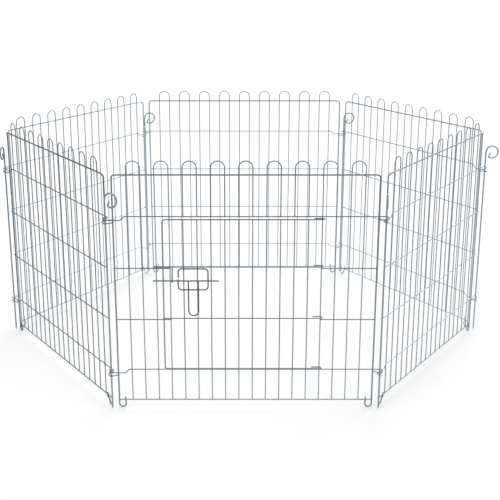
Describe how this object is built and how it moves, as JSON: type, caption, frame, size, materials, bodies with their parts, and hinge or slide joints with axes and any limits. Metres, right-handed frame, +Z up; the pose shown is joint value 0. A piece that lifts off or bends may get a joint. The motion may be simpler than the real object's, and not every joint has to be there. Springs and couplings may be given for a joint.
{
  "type": "small animal run",
  "caption": "Hexagonal wire run for small animals: upright wire panels joined at the corners by lift-out pins, with a hinged wire door shut by a sliding bolt and loop handle.",
  "frame": {"origin": "on the ground, under the middle of the run's bounding box", "axes": "+X along the front panel, to the right as seen from outside; +Y from the front panel to the back one; +Z up"},
  "size_m": [1.2802, 1.0698, 0.5695],
  "materials": {
    "frame": "galvanised, dull grey",
    "infill": "galvanised, satin grey",
    "cross_wire": "galvanised, satin grey",
    "pin": "galvanised, satin grey",
    "door": "galvanised, dull grey",
    "latch": "galvanised, darker dull grey"
  },
  "bodies": {
    "front_panel": {"front_frame": "frame", "front_infill": "infill", "front_upper_hinge_wire": "cross_wire", "front_lower_hinge_wire": "cross_wire", "front_upper_wire_left": "cross_wire", "front_upper_wire_right": "cross_wire", "front_lower_wire_left": "cross_wire", "front_lower_wire_right": "cross_wire", "bolt_keeper": "latch"},
    "left_front": {"left_front_frame": "frame", "left_front_infill": "infill", "left_front_upper_hinge_wire": "cross_wire", "left_front_upper_wire": "cross_wire", "left_front_lower_wire": "cross_wire", "left_front_lower_hinge_wire": "cross_wire"},
    "left_back": {"left_back_frame": "frame", "left_back_infill": "infill", "left_back_upper_hinge_wire": "cross_wire", "left_back_upper_wire": "cross_wire", "left_back_lower_wire": "cross_wire", "left_back_lower_hinge_wire": "cross_wire"},
    "back": {"back_frame": "frame", "back_infill": "infill", "back_upper_hinge_wire": "cross_wire", "back_upper_wire": "cross_wire", "back_lower_wire": "cross_wire", "back_lower_hinge_wire": "cross_wire"},
    "right_back": {"right_back_frame": "frame", "right_back_infill": "infill", "right_back_upper_hinge_wire": "cross_wire", "right_back_upper_wire": "cross_wire", "right_back_lower_wire": "cross_wire", "right_back_lower_hinge_wire": "cross_wire"},
    "right_front": {"right_front_frame": "frame", "right_front_infill": "infill", "right_front_upper_hinge_wire": "cross_wire", "right_front_upper_wire": "cross_wire", "right_front_lower_wire": "cross_wire", "right_front_lower_hinge_wire": "cross_wire"},
    "front_left_pin_body": {"front_left_pin": "pin"},
    "front_right_pin_body": {"front_right_pin": "pin"},
    "right_pin_body": {"right_pin": "pin"},
    "back_right_pin_body": {"back_right_pin": "pin"},
    "back_left_pin_body": {"back_left_pin": "pin"},
    "left_pin_body": {"left_pin": "pin"},
    "door": {"door_grille": "door", "door_upper_wire": "cross_wire", "door_lower_wire": "cross_wire", "bolt_guide": "latch"},
    "bolt": {"bolt_rod": "latch"},
    "handle": {"bolt_handle": "latch"}
  },
  "joints": [
    {"name": "front_left_hinge", "type": "hinge", "parent": "front_panel", "child": "left_front", "pos_m": [-0.31472, -0.5022, 0], "axis": [0, 0, 1], "range_deg": [-32, 22]},
    {"name": "left_hinge", "type": "hinge", "parent": "left_front", "child": "left_back", "pos_m": [-0.63405, 0.00883, 0], "axis": [0, 0, 1], "range_deg": [-44, 64]},
    {"name": "back_left_hinge", "type": "hinge", "parent": "left_back", "child": "back", "pos_m": [-0.31472, 0.51987, 0], "axis": [0, 0, 1], "range_deg": [-32, 22]},
    {"name": "front_right_hinge", "type": "hinge", "parent": "front_panel", "child": "right_front", "pos_m": [0.28788, -0.5022, 0], "axis": [0, 0, 1], "range_deg": [-22, 32]},
    {"name": "right_hinge", "type": "hinge", "parent": "right_front", "child": "right_back", "pos_m": [0.60721, 0.00883, 0], "axis": [0, 0, 1], "range_deg": [-64, 44]},
    {"name": "door_hinge", "type": "hinge", "parent": "front_panel", "child": "door", "pos_m": [0.15158, -0.49575, 0], "axis": [0, 0, 1], "range_deg": [0, 155]},
    {"name": "front_left_pin_lift", "type": "slide", "parent": "front_panel", "child": "front_left_pin_body", "axis": [0, 0, 1], "range_m": [0, 0.46]},
    {"name": "front_right_pin_lift", "type": "slide", "parent": "front_panel", "child": "front_right_pin_body", "axis": [0, 0, 1], "range_m": [0, 0.46]},
    {"name": "left_pin_lift", "type": "slide", "parent": "left_front", "child": "left_pin_body", "axis": [0, 0, 1], "range_m": [0, 0.46]},
    {"name": "back_left_pin_lift", "type": "slide", "parent": "left_back", "child": "back_left_pin_body", "axis": [0, 0, 1], "range_m": [0, 0.46]},
    {"name": "back_right_pin_lift", "type": "slide", "parent": "right_back", "child": "back_right_pin_body", "axis": [0, 0, 1], "range_m": [0, 0.46]},
    {"name": "right_pin_lift", "type": "slide", "parent": "right_front", "child": "right_pin_body", "axis": [0, 0, 1], "range_m": [0, 0.46]},
    {"name": "bolt_slide", "type": "slide", "parent": "door", "child": "bolt", "axis": [1, 0, 0], "range_m": [-0.018, 0.046]},
    {"name": "handle_swing", "type": "hinge", "parent": "bolt", "child": "handle", "pos_m": [-0.13812, -0.5082, 0.3059], "axis": [-1, 0, 0], "range_deg": [0, 150]}
  ],
  "couplings": [
    {"joint": "left_hinge", "follows": "front_left_hinge", "ratio": -2},
    {"joint": "back_left_hinge", "follows": "front_left_hinge", "ratio": 1},
    {"joint": "front_right_hinge", "follows": "front_left_hinge", "ratio": -1},
    {"joint": "right_hinge", "follows": "front_left_hinge", "ratio": 2}
  ]
}
